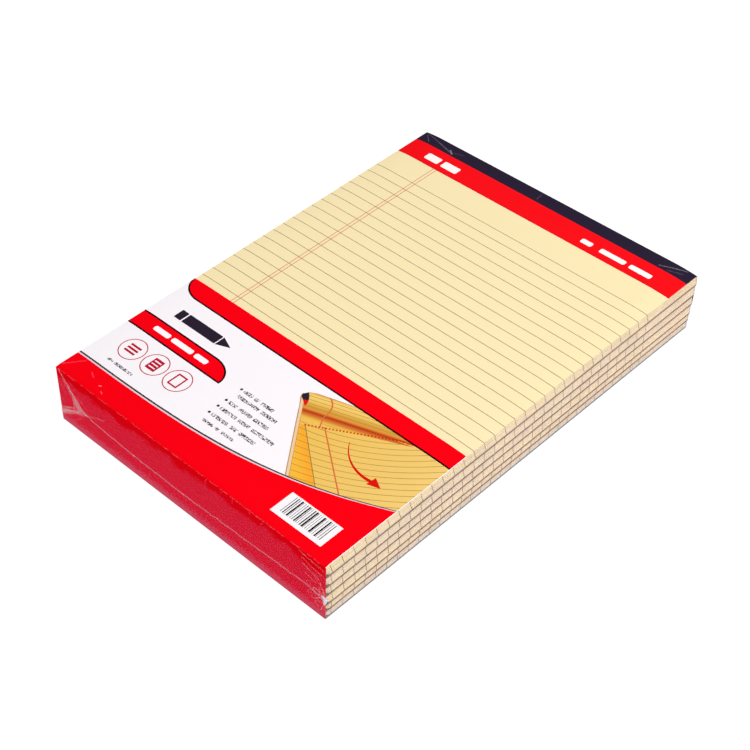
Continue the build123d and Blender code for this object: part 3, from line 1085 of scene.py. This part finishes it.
def shrinkFilm():
    # Polyolefin shrink film: clear on top; a painted reflection down the walls, left out under the top fold
    # so that a painted shade shows there;
    # a darker bluish painted shade near the floor; and white where it is creased and gathered, partly the
    # film's own whitening and partly painted highlight
    s = filmSettings
    material, tree = newMaterial("clearShrinkFilm")
    place = addNode(tree, "TexCoord").outputs["Object"]
    axes = addNode(tree, "SeparateXYZ", None, {0: place})
    height = addNode(tree, "Math MULTIPLY", {1: 1 / mm}, {0: axes.outputs[2]})
    lean = addNode(tree, "Math MULTIPLY_ADD", {1: -stackLean, 2: stackLean * topZ - padMiddle},
                   {0: axes.outputs[2]})
    side = addNode(tree, "Math ADD", None, {0: axes, 1: lean})
    side = addNode(tree, "Math MULTIPLY", {1: 1 / mm}, {0: side})
    wobble = addNode(tree, "TexNoise", {"Scale": 1 / s["wobble"], "Detail": 3.0}, {"Vector": place})
    most = s["stray"]
    centred = {1: (2 * most, 2 * most, 0), 2: (-most, -most, 0)}
    stray = addNode(tree, "VectorMath MULTIPLY_ADD", centred, {0: wobble.outputs["Color"]})
    wall = addNode(tree, "CombineXYZ", None, {0: side, 1: height})
    wall = addNode(tree, "VectorMath ADD", None, {0: wall, 1: stray})
    top = fromAbove(tree, place, (padMiddle, middleY))
    top = addNode(tree, "VectorMath MULTIPLY_ADD", {1: (s["topStray"], s["topStray"], 0)}, {0: stray, 2: top})

    footWall = addNode(tree, "Math LESS_THAN", {1: footY - s["footFrom"]}, {0: axes.outputs[1]})
    normal = addNode(tree, "NewGeometry").outputs["Normal"]
    facing = addNode(tree, "SeparateXYZ", None, {0: normal})
    upward = addNode(tree, "Math GREATER_THAN", {1: s["topFrom"]}, {0: facing.outputs[2]})
    # creases and loops on the foot wall are painted white, partly the film's own whitening and partly painted
    # highlight; the fold line and the creases on top are painted highlight
    foot = [crease(tree, wall, *c) for c in s["footCreases"]]
    for middle, radius, width, strength in s["loops"]:
        line = ring(tree, wall, middle, radius, width)
        foot.append(addNode(tree, "Math MULTIPLY", {1: strength}, {0: line}))
    level, width, strength = s["foldHighlight"]
    start, end = s["foldGlintSpan"]
    foot.append(crease(tree, wall, (start, level), (end, level), width, strength))
    foot = mixed(tree, "MINIMUM", [mixed(tree, "MAXIMUM", foot), footWall])
    over = mixed(tree, "MINIMUM",
                 [mixed(tree, "MAXIMUM", [crease(tree, top, *c) for c in s["topCreaseGlints"]]), upward])
    streaks = addNode(tree, "TexNoise", {"Scale": 1 / s["streak"], "Detail": 5.0, "Roughness": 0.6},
                      {"Vector": place})
    ends = dict(zip((1, 2, 3, 4), s["streakSpan"] + s["streakShow"]))
    uneven = addNode(tree, "MapRange", ends, {0: streaks})
    creasesAndGlints = addNode(tree, "Math MULTIPLY", None, {0: mixed(tree, "MAXIMUM", [foot, over]), 1: uneven})

    # painted reflection on the walls: none under the top fold, where the film lies tight, so a painted shade
    # shows there; and a darker bluish painted shade, most near the floor
    drift = addNode(tree, "TexNoise", {"Scale": 1 / s["drift"], "Detail": 2.0}, {"Vector": place})
    shift = addNode(tree, "Math SUBTRACT", {1: 0.5}, {0: drift})
    drifting = addNode(tree, "Math MULTIPLY_ADD", {1: s["driftRise"]}, {0: shift, 2: height})
    high, low = s["reflectionHeights"]
    wallReflection = addNode(tree, "MapRange", {"interpolation_type": "SMOOTHSTEP", 1: high, 2: low, 4: s["reflectionStrength"]},
                    {0: drifting})
    # painted shade near the floor: darker and bluish towards the bottom
    high, low = s["floorShadeHeights"]
    lower = addNode(tree, "MapRange", {"interpolation_type": "SMOOTHSTEP", 1: high, 2: low}, {0: height})
    reflectionAndFloorShade = addNode(tree, "Math MULTIPLY_ADD", {1: s["floorShadeStrength"]}, {0: lower, 2: wallReflection})
    walls = addNode(tree, "Math COMPARE", {1: 0.0, 2: s["wallUpTo"]}, {0: facing.outputs[2]})
    reflectionAndFloorShade = addNode(tree, "Math MULTIPLY", None, {0: reflectionAndFloorShade, 1: walls})
    gathered = addNode(tree, "Attribute", {"attribute_name": "gather"}).outputs["Fac"]
    cover = addNode(tree, "Math ADD", None, {0: reflectionAndFloorShade, 1: creasesAndGlints})
    alpha = addNode(tree, "Math ADD", {"use_clamp": True}, {0: cover, 1: gathered})
    bump = addNode(tree, "Bump", {"Strength": 0.3, "Distance": 0.3 * mm}, {"Height": streaks})
    gatheredShare = addNode(tree, "Math ADD", None, {0: creasesAndGlints, 1: gathered})
    whiter = addNode(tree, "MapRange", {2: s["whiteFrom"]}, {0: gatheredShare})
    # tint of the painted reflection, turning to the painted floor shade low down, then to the creases' white
    thin = layer(tree, s["reflectionTint"], s["floorShadeTint"], lower)
    colour = layer(tree, thin, s["creaseAndGlintTint"], whiter)
    finishMaterial(tree, {"Roughness": 0.14, "IOR": 1.49},
                   {"Base Color": colour, "Alpha": alpha, "Normal": bump})
    return material


filmPiece = addPiece("shrinkFilm", filmMesh(), shrinkFilm(), ["shrink_film"], True)
filmPiece.visible_shadow = filmPiece.visible_diffuse = False  # clear film doesn't dim what it wraps
print("film built")


# Stage
cameraSettings = dict(azimuth=45.71, elevation=43.22, roll=-2.13, distance=986.4 * mm,
                      aside=-6.0 * mm, above=-0.1 * mm, lens=82.51, sensor=36, nearest=0.01)


def placeCamera():
    c = cameraSettings
    azimuth, elevation, roll = (math.radians(c[k]) for k in ("azimuth", "elevation", "roll"))
    back = Vector((math.sin(azimuth) * math.cos(elevation), -math.cos(azimuth) * math.cos(elevation),
                   math.sin(elevation)))
    level = Vector((0, 0, 1)).cross(back).normalized()
    rise = back.cross(level)
    right = level * math.cos(roll) + rise * math.sin(roll)
    up = rise * math.cos(roll) - level * math.sin(roll)
    place = Vector((padMiddle, middleY, 0)) + right * c["aside"] + up * c["above"] + back * c["distance"]
    camera = bpy.data.objects.new("camera", bpy.data.cameras.new("camera"))
    bpy.context.scene.collection.objects.link(camera)
    camera.matrix_world = Matrix.LocRotScale(place, Matrix((right, up, back)).transposed(), None)
    camera.data.lens = c["lens"]
    camera.data.sensor_width = c["sensor"]
    camera.data.clip_start = c["nearest"]
    bpy.context.scene.camera = camera


lightSettings = {
    # name: place, aim, size in metres, power in watts
    "topSoftbox": ((0.6, 0.05, 1.5), (0, 0, 0), 1.3, 21.0),
    "sideSoftbox": ((1.7, 0.3, 0.7), (0, 0, 0.02), 1.2, 12.5),
    "fillSoftbox": ((-1.6, 0.3, 0.32), (0, 0, 0.02), 1.0, 7.0),
}


# the white room: how bright it looks, how much light it gives, and how much less it shows in gloss
roomSettings = dict(seen=1.0, light=0.25, glossLess=0.19)


def placeLights():
    world = bpy.data.worlds.new("studio")
    world.use_nodes = True
    world.node_tree.nodes["Background"].inputs["Color"].default_value = (1, 1, 1, 1)
    r, tree = roomSettings, world.node_tree
    rays = addNode(tree, "LightPath")
    seen = addNode(tree, "MapRange", {3: r["light"], 4: r["seen"]}, {0: rays.outputs["Is Camera Ray"]})
    strength = addNode(tree, "Math MULTIPLY_ADD", {1: -r["glossLess"]},
                       {0: rays.outputs["Is Glossy Ray"], 2: seen})
    tree.links.new(strength.outputs[0], tree.nodes["Background"].inputs["Strength"])
    bpy.context.scene.world = world
    for name, (place, aim, size, power) in lightSettings.items():
        light = bpy.data.objects.new(name, bpy.data.lights.new(name, "AREA"))
        bpy.context.scene.collection.objects.link(light)
        light.location = place
        light.rotation_euler = (Vector(aim) - Vector(place)).to_track_quat("-Z", "Y").to_euler()
        light.data.size = size
        light.data.energy = power


floorSettings = dict(base=0.06, glow=1.0, reach=4)  # a dull base keeps the pack's colours off the floor


def placeFloor():
    # Studio sweep, lit until it burns out: an even white
    s = floorSettings
    material, tree = newMaterial("paleSweep")
    finishMaterial(tree,
                   {"Base Color": (s["base"],) * 3 + (1,), "Roughness": 0.9, "Specular IOR Level": 0.0,
                    "Emission Color": (1, 1, 1, 1), "Emission Strength": s["glow"]}, {})
    bm = bmesh.new()
    bmesh.ops.create_grid(bm, x_segments=1, y_segments=1, size=s["reach"])
    mesh = bpy.data.meshes.new("floor")
    bm.to_mesh(mesh)
    bm.free()
    mesh.materials.append(material)
    floor = bpy.data.objects.new("floor", mesh)
    bpy.context.scene.collection.objects.link(floor)


placeCamera()
placeLights()
placeFloor()
bpy.context.scene.view_settings.view_transform = "Standard"
print("stage set")
